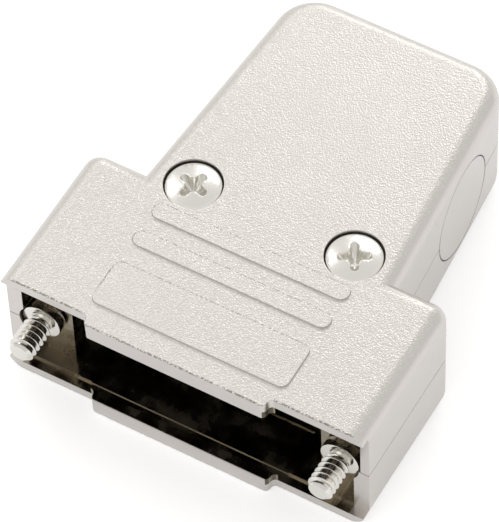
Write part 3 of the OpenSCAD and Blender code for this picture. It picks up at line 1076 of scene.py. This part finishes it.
def thread_rows(start, end, steps):
    """Points and faces of a helical thread along Z from start to end."""
    turns = math.ceil((end - start) / THREAD_PITCH) + TURNS_SPARE
    rows = [(turn + place_in, rise) for turn in range(turns) for place_in, rise in THREAD_FORM]
    verts = []
    for place_in, rise in rows:
        for i in range(steps):
            z = start + THREAD_PITCH * (place_in - TURNS_BEFORE + i / steps)
            z = min(max(z, start), end)
            from_tip = THREAD_R - TIP_CHAMFER + (z - start)
            from_end = ROOT_R + (end - z)
            radius = min(ROOT_R + (THREAD_R - ROOT_R) * rise, from_tip, from_end)
            verts.append(round_z(radius, z, i, steps))
    faces = []
    for row in range(len(rows) - len(THREAD_FORM) - 1):
        for i in range(steps):
            j = (i + 1) % steps
            step = len(THREAD_FORM) if j == 0 else 0
            across = (row + step) * steps + j
            faces.append((row * steps + i, across, across + steps, (row + 1) * steps + i))
    return verts, faces


# %% Jackscrews
COLLAR_D = mm(4.2)
COLLAR_T = mm(1.2)
COLLAR_Y = mm(1.39)
UNDERCUT_R = mm(1.15)
UNDERCUT_STEP = mm(0.02)
RUN_OUT = mm(0.2)
SHANK_R = mm(1.4)
HEAD_D = mm(4.2)
HEAD_T = mm(1.5)
DRIVER_SLOT_W = mm(0.8)
DRIVER_SLOT_DEPTH = mm(0.8)
SLOT_CUTTER_H = mm(2)
JACK_EDGE = mm(0.1)
# How far along a rounded edge its middle point lies
EDGE_MIDDLE = 0.3
HEAD_BEVEL = mm(0.3)
THREAD_STEPS = 96


def slot_cutter(back_y):
    """A bar that cuts the driver's slot into the end of a jackscrew along Z."""
    middle_z = back_y + SLOT_CUTTER_H / 2 - DRIVER_SLOT_DEPTH
    bpy.ops.mesh.primitive_cube_add(size=1, location=(0, 0, middle_z))
    cutter = bpy.context.object
    cutter.scale = (HEAD_D * 2, DRIVER_SLOT_W, SLOT_CUTTER_H)
    bpy.context.view_layer.update()
    return cutter


def jackscrew(name, x, front_y, back_y):
    """A jackscrew along Y: helical thread, undercut, collar, shank and slotted head."""
    thread_end = COLLAR_Y - RUN_OUT
    collar_end = COLLAR_Y + COLLAR_T
    head_y = back_y - HEAD_T
    collar_r, head_r, edge = COLLAR_D / 2, HEAD_D / 2, JACK_EDGE
    profile = [
        (ROOT_R, thread_end),
        (UNDERCUT_R, thread_end + UNDERCUT_STEP),
        (UNDERCUT_R, COLLAR_Y),
        (collar_r - edge, COLLAR_Y),
        (collar_r - edge * EDGE_MIDDLE, COLLAR_Y + edge * EDGE_MIDDLE),
        (collar_r, COLLAR_Y + edge),
        (collar_r, collar_end - edge),
        (collar_r - edge, collar_end),
        (SHANK_R, collar_end),
        (SHANK_R, head_y),
        (head_r - HEAD_BEVEL, head_y),
        (head_r, head_y + HEAD_BEVEL),
        (head_r, back_y - HEAD_BEVEL),
        (head_r - HEAD_BEVEL, back_y),
        (0, back_y),
    ]
    verts, faces = thread_rows(front_y, thread_end, THREAD_STEPS)
    faces += joined_rings(len(verts), len(profile), THREAD_STEPS)
    verts += rings(profile, THREAD_STEPS)
    tip = len(verts)
    faces += ring_faces(tip + THREAD_STEPS, tip, THREAD_STEPS)
    verts += rings(((THREAD_R - TIP_CHAMFER, front_y), (0, front_y)), THREAD_STEPS)
    piece = finished_object(name, mesh_from(name, verts, faces), jackscrew_metal)
    cut(piece, slot_cutter(back_y))
    piece.data.transform(Matrix.Translation((x, 0, 0)) @ Matrix.Rotation(math.radians(-90), 4, "X"))
    return piece


for side in SIDES:
    node_name = "jackscrew_" + side
    low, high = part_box(node_name)
    screw = jackscrew("threaded_jackscrew_" + side, (low[0] + high[0]) / 2, low[1], high[1])
    modify(screw, "smooth", "NODES", node_group=smoother)
    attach(screw, node_name)
    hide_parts(node_name)
    print(screw.name, "polygons", len(screw.data.polygons), "open edges", open_edges(screw.data))

# %% [markdown]
# ## Floor, world and lamps
# Metal shows its surroundings, so the surroundings are the lighting. A pale floor lights the sides
# from below, a soft bright sky lights the faces, and the sky is dimmer low down in front, which
# draws the dark lines along the front edges. The floor keeps the hood's shadow.

# %% Floor
FLOOR_HALF = 2.0
FLOOR_COLOUR = (0.86, 0.86, 0.86, 1)
FLOOR_ROUGHNESS = 0.9
FLOOR_LIFT = 0.40
FLOOR_MIRRORED = 0.26


def make_floor():
    """A pale floor under the hood, a little brighter to the camera, which keeps the shadow."""
    material = bpy.data.materials.new("pale floor")
    material.use_nodes = True
    tree = material.node_tree
    shader = tree.nodes["Principled BSDF"]
    shader.inputs["Base Color"].default_value = FLOOR_COLOUR
    shader.inputs["Roughness"].default_value = FLOOR_ROUGHNESS
    shader.inputs["Specular IOR Level"].default_value = 0.0
    rays = add(tree, "ShaderNodeLightPath")
    shader.inputs["Emission Color"].default_value = (1, 1, 1, 1)
    seen = math_node(tree, "MULTIPLY", rays.outputs["Is Camera Ray"], FLOOR_LIFT)
    mirrored = math_node(tree, "MULTIPLY", rays.outputs["Is Glossy Ray"], FLOOR_MIRRORED)
    tree.links.new(math_node(tree, "ADD", seen, mirrored), shader.inputs["Emission Strength"])
    mesh = bpy.data.meshes.new("floor")
    square = ((-FLOOR_HALF, -FLOOR_HALF), (FLOOR_HALF, -FLOOR_HALF),
              (FLOOR_HALF, FLOOR_HALF), (-FLOOR_HALF, FLOOR_HALF))
    mesh.from_pydata([(x, y, -half_h) for x, y in square], [], [(0, 1, 2, 3)])
    floor = finished_object("floor", mesh, material)
    return floor


floor = make_floor()

# %% World
WINDOW_SIDE = Vector((-0.45, 0.80, -0.10)).normalized()
SKY_BRIGHT = 0.92
SKY_DIM = 0.79
# How squarely a direction faces the window where the sky is dimmest and brightest
SKY_FROM = -0.55
SKY_FULL = 0.95
SKY_COLOUR = (1.0, 0.992, 0.982, 1)


def make_world():
    """A soft studio sky, brighter on the window side behind the hood, and even to the camera."""
    world = bpy.data.worlds.new("studio")
    world.use_nodes = True
    bpy.context.scene.world = world
    tree = world.node_tree
    tree.nodes.clear()
    towards = add(tree, "ShaderNodeVectorMath", "towards the window", operation="DOT_PRODUCT")
    tree.links.new(add(tree, "ShaderNodeTexCoord").outputs["Generated"], towards.inputs[0])
    towards.inputs[1].default_value = WINDOW_SIDE
    strength = ramp(tree, towards.outputs["Value"], SKY_FROM, SKY_FULL, SKY_DIM, SKY_BRIGHT, "sky")
    rays = add(tree, "ShaderNodeLightPath")
    lit = add(tree, "ShaderNodeBackground", "light")
    lit.inputs["Color"].default_value = SKY_COLOUR
    tree.links.new(strength, lit.inputs["Strength"])
    seen = add(tree, "ShaderNodeBackground", "backdrop")
    mixed = add(tree, "ShaderNodeMixShader")
    tree.links.new(rays.outputs["Is Camera Ray"], mixed.inputs[0])
    tree.links.new(lit.outputs[0], mixed.inputs[1])
    tree.links.new(seen.outputs[0], mixed.inputs[2])
    tree.links.new(mixed.outputs[0], add(tree, "ShaderNodeOutputWorld").inputs["Surface"])


make_world()

# %% Lamps
# Name, direction towards the lamp, distance, width and power of each soft box
SOFT_BOXES = (
    ("key", (-0.20, 0.80, 0.58), 0.55, 0.22, 0.33),
    ("top", (-0.62, 0.30, 0.75), 0.60, 0.20, 0.16),
    ("fill", (-0.30, -0.55, 0.78), 0.60, 0.36, 0.30),
)


def add_soft_box(name, direction, distance, width, power):
    """A square area lamp that faces the hood."""
    lamp = bpy.data.lights.new(name, "AREA")
    lamp.shape = "SQUARE"
    lamp.size = width
    lamp.energy = power
    holder = bpy.data.objects.new(name, lamp)
    middle = Vector((0, total_len / 2, 0))
    towards = Vector(direction).normalized()
    holder.location = middle + towards * distance
    holder.rotation_euler = (-towards).to_track_quat("-Z", "Y").to_euler()
    bpy.context.scene.collection.objects.link(holder)


for soft_box in SOFT_BOXES:
    add_soft_box(*soft_box)

# %% Finish
scene = bpy.context.scene
scene.view_settings.view_transform = "Standard"
